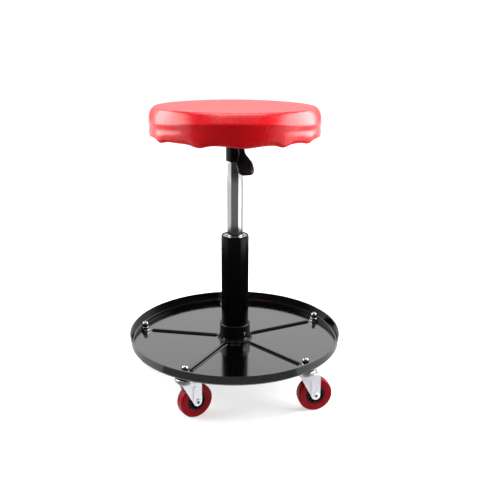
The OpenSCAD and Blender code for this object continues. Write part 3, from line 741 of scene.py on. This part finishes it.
        # The seam and the hem are held, and the low side a little
        held = piece.vertex_groups.new(name="held")
        for vertex in piece.data.vertices:
            r = hypot(vertex.co.x, vertex.co.y) / self.radius
            height = (vertex.co.z - self.board) / self.side
            seam = exp(-(((height - 1.0) / 0.02) ** 2)) if 0.92 < r < 0.945 else 0.0
            hem = 1.0 if height < 0.02 and r < 0.93 else 0.0
            wall = 0.25 if height < 0.6 and r > 0.97 else 0.0
            held.add([vertex.index], max(seam, hem, wall), "REPLACE")
        Bench.take(piece)
        cloth = piece.modifiers.new("vinyl", "CLOTH")
        cloth.settings.effector_weights.gravity = 0.0
        for key, value in {
                "quality": 6, "mass": 0.4, "use_pressure": True, "uniform_pressure_force": 4.0,
                "vertex_group_mass": "held", "tension_stiffness": 40.0, "compression_stiffness": 40.0,
                "bending_stiffness": 4.0}.items():
            setattr(cloth.settings, key, value)
        scene = bpy.context.scene
        scene.frame_start, scene.frame_end = 1, self.frames
        cloth.point_cache.frame_end = self.frames
        for number in range(1, self.frames + 1):
            scene.frame_set(number)
        bpy.ops.object.modifier_apply(modifier=cloth.name)
        scene.frame_set(1)
        for vertex, start in zip(piece.data.vertices, rest):
            move = vertex.co - start
            if move.length > self.sag_cap:
                move *= self.sag_cap / move.length
            vertex.co = start + move

    def make_cover(self) -> Object:
        """Makes the padded cover.

        Returns:
            The cover.
        """
        piece = Bench.turned("seat_vinyl", self.outline(), steps=self.steps, closed=False, angle=180.0)
        self.pucker(piece)
        self.settle_foam(piece)
        highest = max(v.co.z for v in piece.data.vertices)
        for vertex in piece.data.vertices:
            r = hypot(vertex.co.x, vertex.co.y)
            if r > self.wall_share * self.radius:
                # A soft limit, so that no fold stands proud of the seat's radius
                kept = r - self.round_off * log1p(exp((r - self.radius) / self.round_off))
                vertex.co.x *= kept / r
                vertex.co.y *= kept / r
            over = vertex.co.z - self.seam
            if over > 0.0 and highest > self.top:
                vertex.co.z = self.seam + over * (self.top - self.seam) / (highest - self.seam)
        Bench.modified(piece, "SOLIDIFY", thickness=self.cover, offset=-1.0)
        bpy.ops.object.shade_smooth()
        return piece

    def make_foam(self) -> Object:
        """Turns the foam pad that fills the cover over the board.

        Returns:
            The pad.
        """
        base, line, clear, edge = low_high("seat_board")[1].z, [], 4.0 * MM, 1.0 * MM
        for r, z in self.outline():
            if z - self.foam_inset < base + clear:
                continue
            height = (z - self.board) / self.side
            deepest = max(self.crease(angle, height) for angle in range(0, 360, 10))
            inset = self.foam_inset + (deepest if r > self.wall_share * self.radius else 0.0)
            line.append((max(0.0, r - inset), z - self.foam_inset))
        foot = low_high("seat_board")[1].x - 0.4 * MM
        outline = [(0.0, base), (foot - edge, base), (foot, base + edge), *line]
        return Bench.turned("foam_pad", outline, steps=self.steps // 2, closed=False, angle=50.0)

    def build(self) -> None:
        """Builds the cushion and its board."""
        cover = self.bench.settle(self.make_cover(), "seat", "red_vinyl", "seat_cover")
        pad = self.bench.settle(self.make_foam(), "seat", "foam", "seat_foam")
        super().build()


@dataclass
class Lift(SubAssembly):
    """The column, its collar, the chromed cylinder and the seat socket."""

    copies = (
        ("socket_sleeve", "seat_socket", "seat", "column_enamel", 0.4 * MM),
        ("hub_nut", "hub_ring_nut", "base", "zinc", 0.8 * MM),
        ("backing_disc", "backing_plate", "base", "tray_enamel", 0.5 * MM))
    column_steps: int = 144
    weld: float = 1.5 * MM
    weld_ripples: int = 44

    def column(self) -> None:
        """Turns the column tube with its rolled top edge."""
        low, high = low_high("column_tube")
        r, wall, roll, edge, steps = high.x, 2.0 * MM, 3.0 * MM, 0.6 * MM, 8
        outline = [(r - wall, low.z), (r - edge, low.z), (r, low.z + edge)]
        for k in range(steps + 1):
            t = 0.5 * pi * k / steps
            outline.append((r - 0.8 * wall * (1 - cos(t)), high.z - roll * (1 - sin(t))))
        outline.append((r - wall, high.z))
        piece = Bench.turned("column_sleeve", outline, steps=self.column_steps)
        self.bench.settle(piece, "base", "column_enamel", "column_tube")

    def bush(self) -> None:
        """Turns the guide bush, whose domed top shows between column and cylinder."""
        low, high = low_high("guide_bush")
        inner, outer = low_high("gas_cylinder")[1].x + 0.06 * MM, high.x
        relief, land, dome, steps = 0.6 * MM, 16.0 * MM, 2.4 * MM, 14
        outline = [(inner, low.z), (outer, low.z)]
        for k in range(steps + 1):
            t = pi * k / steps
            outline.append((0.5 * (inner + outer) + 0.5 * (outer - inner) * cos(t),
                            high.z - dome * (1 - sin(t) ** 0.8)))
        outline += [(inner, high.z - land), (inner + relief, high.z - land - relief),
                    (inner + relief, low.z + land + relief), (inner, low.z + land)]
        piece = Bench.turned("guide_sleeve", outline, steps=self.column_steps)
        self.bench.settle(piece, "base", "bush_steel", "guide_bush")

    def cylinder(self) -> None:
        """Turns the chromed cylinder with its crimped foot and tapered head."""
        low, high = low_high("gas_cylinder")
        shoulder = low_high("seat_socket")[0].z
        r, wall, hole, edge, lip = high.x, 1.5 * MM, 3.8 * MM, 0.8 * MM, 4.0 * MM
        inner, big, small, top = r - wall, r - edge, r - 1.8 * MM, high.z
        outline = Bench.soften([
            (inner - lip, low.z), (big, low.z), (r, low.z + edge), (r, shoulder - 1.5 * MM),
            (big, shoulder), (small, top), (hole, top), (hole, top - wall), (small - wall, top - wall),
            (small - wall, top - 21.5 * MM), (inner, top - 34.0 * MM), (inner, low.z + wall),
            (inner - lip, low.z + wall)], 0.35 * MM)
        piece = Bench.turned("chromed_cylinder", outline, steps=self.column_steps)
        self.bench.settle(piece, "seat", "cylinder_chrome", "gas_cylinder")

    def collar(self) -> None:
        """Dresses the collar socket and lays the weld bead at its foot."""
        self.bench.refine("collar_socket", "hub_socket", "base", "column_enamel", 0.35 * MM)
        sheet, rim, swelling, points = 1.2 * MM, 33.0 * MM, 0.006, 10
        floor = low_high("tray_pan")[0].z + sheet
        outline = [(rim - 0.6 * MM + self.weld * cos(a),
                    floor + 0.15 * MM + self.weld * 0.75 * sin(a))
                   for a in (tau * k / points for k in range(points))]
        bead = Bench.turned("foot_weld", outline, steps=self.weld_ripples * 6, angle=60.0)
        for vertex in bead.data.vertices:
            angle = atan2(vertex.co.y, vertex.co.x)
            swell = 1.0 + swelling * abs(sin(0.5 * self.weld_ripples * angle))
            vertex.co.x *= swell
            vertex.co.y *= swell
            vertex.co.z = max(vertex.co.z, floor + 0.02 * MM)
        self.bench.settle(bead, "base", "column_enamel")
        self.bench.refine("collar_screw", "hub_set_screw", "base", "nut_chrome", 0.65 * MM)

    def build(self) -> None:
        """Builds the lift."""
        self.column()
        self.bush()
        self.cylinder()
        self.collar()
        super().build()


class Tray(SubAssembly):
    """The round parts tray, whose upright wall and pressed ribs are modelled in its node."""

    copies = (("parts_tray", "tray_pan", "base", "tray_enamel", 0.0, 30.0),)


@dataclass
class Caster:
    """One swivel caster: fork, axle rivet, red tread and black core."""

    bench: Bench
    number: int
    spokes: int = 8
    rib_w: float = 1.6 * MM
    half: float = 9.5 * MM
    edge: float = 4.2 * MM
    rim_r: float = 16.0 * MM
    axle_r: float = 4.0 * MM
    fork_out: float = 12.3 * MM
    rivet_r: float = 6.0 * MM
    rivet_h: float = 2.0 * MM
    rivet_bore: float = 2.6 * MM
    # How deep the black plugs sit in the rivet's bore and how long they are: they are painted shade that darkens
    # the hollow
    shade_plug_in: float = 1.2 * MM
    shade_plug_h: float = 3.0 * MM
    flute_w: float = 5.2 * MM
    flute_h: float = 29.0 * MM
    flute_back: float = 7.0 * MM
    flute_up: float = 3.0 * MM
    stem: Vector = field(init=False)
    axle: Vector = field(init=False)
    axis: Vector = field(init=False)

    def __post_init__(self) -> None:
        """Reads the caster's place from the joints."""
        joints = {j["name"]: j for j in frame["joints"]}
        spin = joints[f"wheel_spin_{self.number}"]
        self.stem = Vector(joints[f"caster_swivel_{self.number}"]["pos_m"])
        self.axle, self.axis = Vector(spin["pos_m"]), Vector(spin["axis"])

    def tread(self) -> None:
        """Turns the red tread, with a parting line round its middle."""
        radius = low_high(f"tread_{self.number}")[1].z - self.axle.z
        half, inner = self.half, self.rim_r + 0.05 * MM
        outline = Bench.soften(
            [(inner, -half), (radius, -half), (radius, half), (inner, half)], self.edge, 6)
        line, dip = 0.35 * MM, 0.18 * MM
        middle = next(i for i, p in enumerate(outline) if abs(p[0] - radius) < 1e-6 and p[1] > 0)
        outline[middle:middle] = [(radius, -line), (radius - dip, 0.0), (radius, line)]
        piece = Bench.turned(f"red_tread_{self.number}", outline, self.axle, self.axis)
        self.bench.settle(piece, f"caster_wheel_{self.number}", "red_tread", f"tread_{self.number}")

    def core(self) -> None:
        """Turns the black core and stands its ribs between hub and rim."""
        centre, axis = self.axle, self.axis
        half, rim, hub, web = self.half, self.rim_r - 2.0 * MM, 8.4 * MM, 4.75 * MM
        bore, proud = self.axle_r + 0.06 * MM, 0.4 * MM
        outline = Bench.soften([
            (bore, -half - proud), (hub, -half - proud), (hub, -web), (rim, -web), (rim, -half),
            (self.rim_r, -half), (self.rim_r, half), (rim, half), (rim, web), (hub, web),
            (hub, half + proud), (bore, half + proud)], 0.5 * MM)
        parts = [Bench.turned("core", outline, centre, axis, 72)]
        side, sink, reach = axis.orthogonal().normalized(), 0.3 * MM, rim - hub + 0.8 * MM
        rib = [(0.0, 0.0), (reach, 0.0), (reach, 3.6 * MM), (0.0, 4.6 * MM)]
        for k in range(self.spokes):
            out = side.copy()
            out.rotate(Matrix.Rotation(tau * k / self.spokes, 3, axis))
            across = axis.cross(out)
            for sign in SIDES:
                start = centre + out * (hub - 0.4 * MM) + axis * sign * (web - sink) - across * 0.8 * MM
                parts.append(Bench.cut_plate(
                    "rib", rib, start, out, axis * sign, -sign * self.rib_w, 0.25 * MM))
        piece = Bench.joined(f"black_core_{self.number}", parts)
        self.bench.settle(piece, f"caster_wheel_{self.number}", "core_plastic", f"core_{self.number}")

    def flutes(self) -> list[Object]:
        """Presses an upright flute into the outside of each leg.

        Returns:
            The two flutes.
        """
        offset = self.axle - self.stem
        trail = Vector((offset.x, offset.y, 0.0)).normalized()
        half, proud, sink = 0.5 * self.flute_w, 1.8 * MM, 0.15 * MM
        outline = [(-half, 0.0), (-0.5 * half, -half), (0.5 * half, -half), (half, 0.0),
                   (half, self.flute_h), (-half, self.flute_h)]
        pieces = []
        for side in SIDES:
            origin = (self.axle + self.axis * side * (self.fork_out - sink)
                      - trail * self.flute_back + UP * self.flute_up)
            turn = 1.0 if trail.cross(UP).dot(self.axis * side) > 0.0 else -1.0
            pieces.append(
                Bench.cut_plate("flute", outline, origin, trail, UP, -turn * (proud + sink), 0.8 * MM))
        return pieces

    def rivet(self) -> None:
        """Turns the axle as a hollow rivet with rolled ends, with a black plug in each end's bore as painted shade
        for the hollow.
        """
        face, r, bore, lip = self.fork_out + self.rivet_h, self.rivet_r, self.rivet_bore, 0.4 * MM
        floor, body = face - 13.0 * MM, f"caster_fork_{self.number}"
        end = [(0.0, floor), (bore - 0.3 * MM, floor), (bore, floor + 0.3 * MM), (bore, face - lip),
               (bore + lip, face), (r - 0.9 * MM, face), (r - 0.25 * MM, face - 0.4 * MM),
               (r, face - 1.0 * MM), (r, self.fork_out), (self.axle_r, self.fork_out)]
        outline = [(x, -h) for x, h in end] + end[::-1]
        name, place = f"axle_rivet_{self.number}", (self.axle, self.axis)
        piece = Bench.turned(name, outline, *place, 48, closed=False, angle=50.0)
        self.bench.settle(piece, body, "fork_zinc", f"axle_{self.number}")
        # A black plug in each end of the bore is painted shade, standing in for the shade inside the hollow rivet
        top, r = face - self.shade_plug_in, bore - 0.05 * MM
        plug = [(0.0, top), (r - 0.2 * MM, top), (r, top - 0.2 * MM), (r, top - self.shade_plug_h),
                (0.0, top - self.shade_plug_h)]
        shade_plugs = [Bench.turned("plug", [(x, side * h) for x, h in plug], *place, 32, closed=False)
                 for side in SIDES]
        self.bench.settle(Bench.joined(f"axle_plugs_{self.number}", shade_plugs), body, "core_plastic")

    def build(self) -> None:
        """Builds the caster."""
        self.tread()
        self.core()
        fork = Bench.from_node("fork", f"fork_{self.number}", 0.45 * MM)
        whole = Bench.joined(f"zinc_fork_{self.number}", [fork, *self.flutes()])
        self.bench.settle(whole, f"caster_fork_{self.number}", "fork_zinc", f"fork_{self.number}")
        self.rivet()


class CasterTops(SubAssembly):
    """What fastens the casters: cups, stems, washers and bright cap nuts."""

    copies = (
        ("cap_nut_set", "caster_cap_nuts", "base", "nut_chrome", 0.35 * MM),
        ("washer_set", "caster_washers", "base", "nut_chrome", 0.25 * MM),
        ("race_cup_set", "caster_race_cups", "base", "zinc", 0.3 * MM),
        ("stem_set", "caster_stems", "base", "zinc", 0.3 * MM))


class Lever(SubAssembly):
    """The height lever: its steel bar, black paddle, bracket and pin, and the seat plate."""

    copies = (
        ("lever_bar", "lever_arm", "lever", "bright_steel", 0.3 * MM),
        ("lever_grip", "lever_paddle", "lever", "paddle_plastic", 0.0, 60.0),
        ("lever_ears", "lever_bracket", "seat", "column_enamel", 0.4 * MM),
        ("lever_rivet", "lever_pin", "seat", "zinc", 0.3 * MM),
        ("seat_mount_plate", "seat_plate", "seat", "column_enamel", 0.5 * MM))


@dataclass(frozen=True)
class Card:
    """Part of a ring on the floor: its radii, its edges in degrees from the front and its glow."""

    name: str
    near: float
    far: float
    left: float
    right: float
    glow: float
    # Whether bounced light sees it too
    bounced: bool = False


@dataclass
class Studio:
    """The pale floor, the soft light, the dark flags that chrome needs, and the camera."""

    lens: float = 48.65
    place: Vector = Vector((0.0, -1.22256, 0.63945))
    down: float = radians(17.129)
    turn: float = 0.0232
    roll: float = 0.0082
    aim: Vector = Vector((0.0, 0.0, 0.3))
    floor_tone: Colour = (0.62, 0.62, 0.62)
    floor_size: float = 16.0
    floor_glow: float = 0.55
    far_glow: float = 0.95
    # How far behind the stool the floor's glow begins and ends to rise
    glow_rise: Point2 = (0.4, 3.0)
    # How far the band behind leans, to the height
    band_lean: float = 0.6
    # The room's tones: all round, high up behind the stool, and what the camera sees
    room_tones: Triple = (0.09, 0.12, 1.05)
    cards: tuple[Card, ...] = (
        Card("near_card", 0.25, 0.44, -58.0, 48.0, 0.25),
        Card("near_round_card", 0.25, 0.44, 48.0, 302.0, 0.75),
        Card("front_card", 0.44, 1.03, -58.0, 48.0, 0.04, True),
        Card("round_card", 0.44, 1.03, 48.0, 302.0, 0.02),
        Card("far_card", 1.03, 2.7, -58.0, 48.0, 0.17, True),
        Card("farthest_card", 2.7, 7.5, -58.0, 48.0, 0.03, True),
        Card("left_card", 1.03, 2.4, 180.0, 302.0, 0.8),
        Card("right_card", 1.03, 2.4, 95.0, 180.0, 0.75))
    # Each softbox's name, place, width and height, power, and the pieces that it doesn't light
    softboxes: tuple[tuple[str, Vector, Point2, float, tuple[str, ...]], ...] = (
        ("left_softbox", Vector((-2.0, 0.3, 1.1)), (2.2, 1.7), 76.0, ("parts_tray", "column_sleeve")),
        ("right_softbox", Vector((2.0, 0.25, 1.1)), (2.4, 1.8), 112.0, ("parts_tray", "column_sleeve")),
        ("top_softbox", Vector((0.0, 0.5, 2.4)), (1.6, 1.2), 34.0, ("parts_tray",)),
        ("front_softbox", Vector((0.05, -0.42, 2.3)), (1.8, 1.0), 36.0, ("parts_tray",)))

    def camera(self) -> None:
        """Sets the camera where the photograph was taken."""
        data = bpy.data.cameras.new("camera")
        data.lens = self.lens
        camera = put_in("camera", data)
        camera.matrix_world = (
            Matrix.Translation(self.place) @ Matrix.Rotation(-self.turn, 4, "Z")
            @ Matrix.Rotation(0.5 * pi - self.down, 4, "X") @ Matrix.Rotation(self.roll, 4, "Z"))
        bpy.context.scene.camera = camera

    def floor(self) -> None:
        """Lays the floor."""
        bench = MaterialBench("pale_floor")
        darker = tuple(0.985 * c for c in self.floor_tone)
        clouds = bench.spread(bench.noise(1.5), 0.0, 1.0)
        tone = bench.mix(clouds, (*self.floor_tone, 1.0), (*darker, 1.0), "RGBA")
        bench.join(tone, bench.shader.inputs["Base Color"])
        bench.adjust(bench.shader, Roughness=0.9, Specular_IOR_Level=0.1, Emission_Color=WHITE)
        back = bench.after(bench.coords, "ShaderNodeSeparateXYZ", "Y")
        glow = bench.spread(back, self.floor_glow, self.far_glow, self.glow_rise)
        bench.join(glow, bench.shader.inputs["Emission Strength"])
        Bench.deselect()
        bpy.ops.mesh.primitive_plane_add(size=self.floor_size, location=(0.0, 0.0, 0.0))
        floor = bpy.context.active_object
        floor.name = "floor"
        floor.data.materials.append(bench.material)

    def fan(self, plan: Card) -> None:
        """Lays a card on the floor that only reflections see from above.

        Args:
            plan: The card's name, place and glow.
        """
        bench = MaterialBench(plan.name)
        mix = bench.add("ShaderNodeMixShader")
        sources = (("ShaderNodeNewGeometry", "Backfacing", {}),
                   ("ShaderNodeEmission", "Emission", {"Strength": plan.glow}),
                   ("ShaderNodeBsdfTransparent", "BSDF", {}))
        for (kind, output, values), target in zip(sources, mix.inputs):
            bench.join(bench.add(kind, **values).outputs[output], target)
        bench.join(mix.outputs[0], bench.tree.nodes["Material Output"].inputs["Surface"])
        start, sweep = radians(plan.left), radians(plan.right - plan.left)
        out, lift = Vector((sin(start), -cos(start), 0.0)), UP * 2.0 * MM
        card = Bench.drawn(plan.name, [out * plan.near + lift, out * plan.far + lift])
        bpy.ops.mesh.spin(steps=24, angle=-sweep, center=(0.0, 0.0, 0.0), axis=UP)
        Bench.close_up()
        if card.data.polygons[0].normal.z < 0.0:
            card.data.flip_normals()
        card.data.materials.append(bench.material)
        card.visible_camera = False
        card.visible_shadow = False
        card.visible_diffuse = plan.bounced

    def flag_off(self) -> None:
        """Keeps each softbox off the glossy pieces that would mirror it, as black flags would."""
        for name, *_, pieces in self.softboxes:
            flags = bpy.data.collections.new(f"{name}_flags")
            for piece in pieces:
                flags.objects.link(bpy.data.objects[piece])
            for link in flags.collection_objects:
                link.light_linking.link_state = "EXCLUDE"
            bpy.data.objects[name].light_linking.receiver_collection = flags

    def softbox(self, name: str, place: Vector, size: Point2, power: float) -> None:
        """Hangs a softbox that faces the stool.

        Args:
            name: The light's name.
            place: Where it hangs.
            size: Its width and height.
            power: Its power in watts.
        """
        data = bpy.data.lights.new(name, "AREA")
        data.shape = "RECTANGLE"
        data.size, data.size_y = size
        data.energy = power
        light = put_in(name, data)
        light.location = place
        light.rotation_euler = (self.aim - place).to_track_quat("-Z", "Y").to_euler()

    def surround(self) -> None:
        """Paints the room: a white band low behind, dim elsewhere, and plain white for the camera."""
        world = bpy.data.worlds.new("room")
        bpy.context.scene.world = world
        world.use_nodes = True
        bench = NodeBench(world.node_tree, "Generated")
        split = bench.add("ShaderNodeSeparateXYZ")
        bench.join(bench.coords, split.inputs["Vector"])
        height = split.outputs["Z"]
        lean = bench.add("ShaderNodeMath", operation="MULTIPLY_ADD")
        lean.inputs[1].default_value = self.band_lean
        bench.join(height, lean.inputs[0])
        bench.join(split.outputs["Y"], lean.inputs[2])
        around, high_up, seen = self.room_tones
        behind = bench.spread(height, 0.6, 1.6, (0.08, 0.45), "SMOOTHSTEP")
        banded = bench.mix(bench.spread(height, 0.0, 1.0, (0.49, 0.6), "SMOOTHSTEP"), behind, high_up)
        backed = bench.spread(lean.outputs[0], 0.0, 1.0, (0.1, 0.7), "SMOOTHSTEP")
        room = bench.mix(backed, around, banded)
        camera = bench.add("ShaderNodeLightPath").outputs["Is Camera Ray"]
        back = bench.adjust(bench.tree.nodes["Background"], Color=WHITE)
        bench.join(bench.mix(camera, room, seen), back.inputs["Strength"])

    def build(self) -> None:
        """Builds the studio."""
        self.camera()
        self.floor()
        for card in self.cards:
            self.fan(card)
        for box in self.softboxes:
            self.softbox(*box[:-1])
        self.surround()
        bpy.context.scene.view_settings.view_transform = "Standard"


def main() -> None:
    """Builds the stool and its studio, and reports each piece."""
    logging.basicConfig(level=logging.INFO, format="%(message)s")
    bench = Bench({finish.name: finish.make() for finish in FINISHES})
    studio = Studio()
    studio.build()
    Tray(bench).build()
    Lift(bench).build()
    CasterTops(bench).build()
    for number in range(1, 6):
        Caster(bench, number).build()
    Lever(bench).build()
    Cushion(bench).build()
    bench.dress_rest()
    studio.flag_off()
    Bench.deselect()


if __name__ == "__main__":
    main()
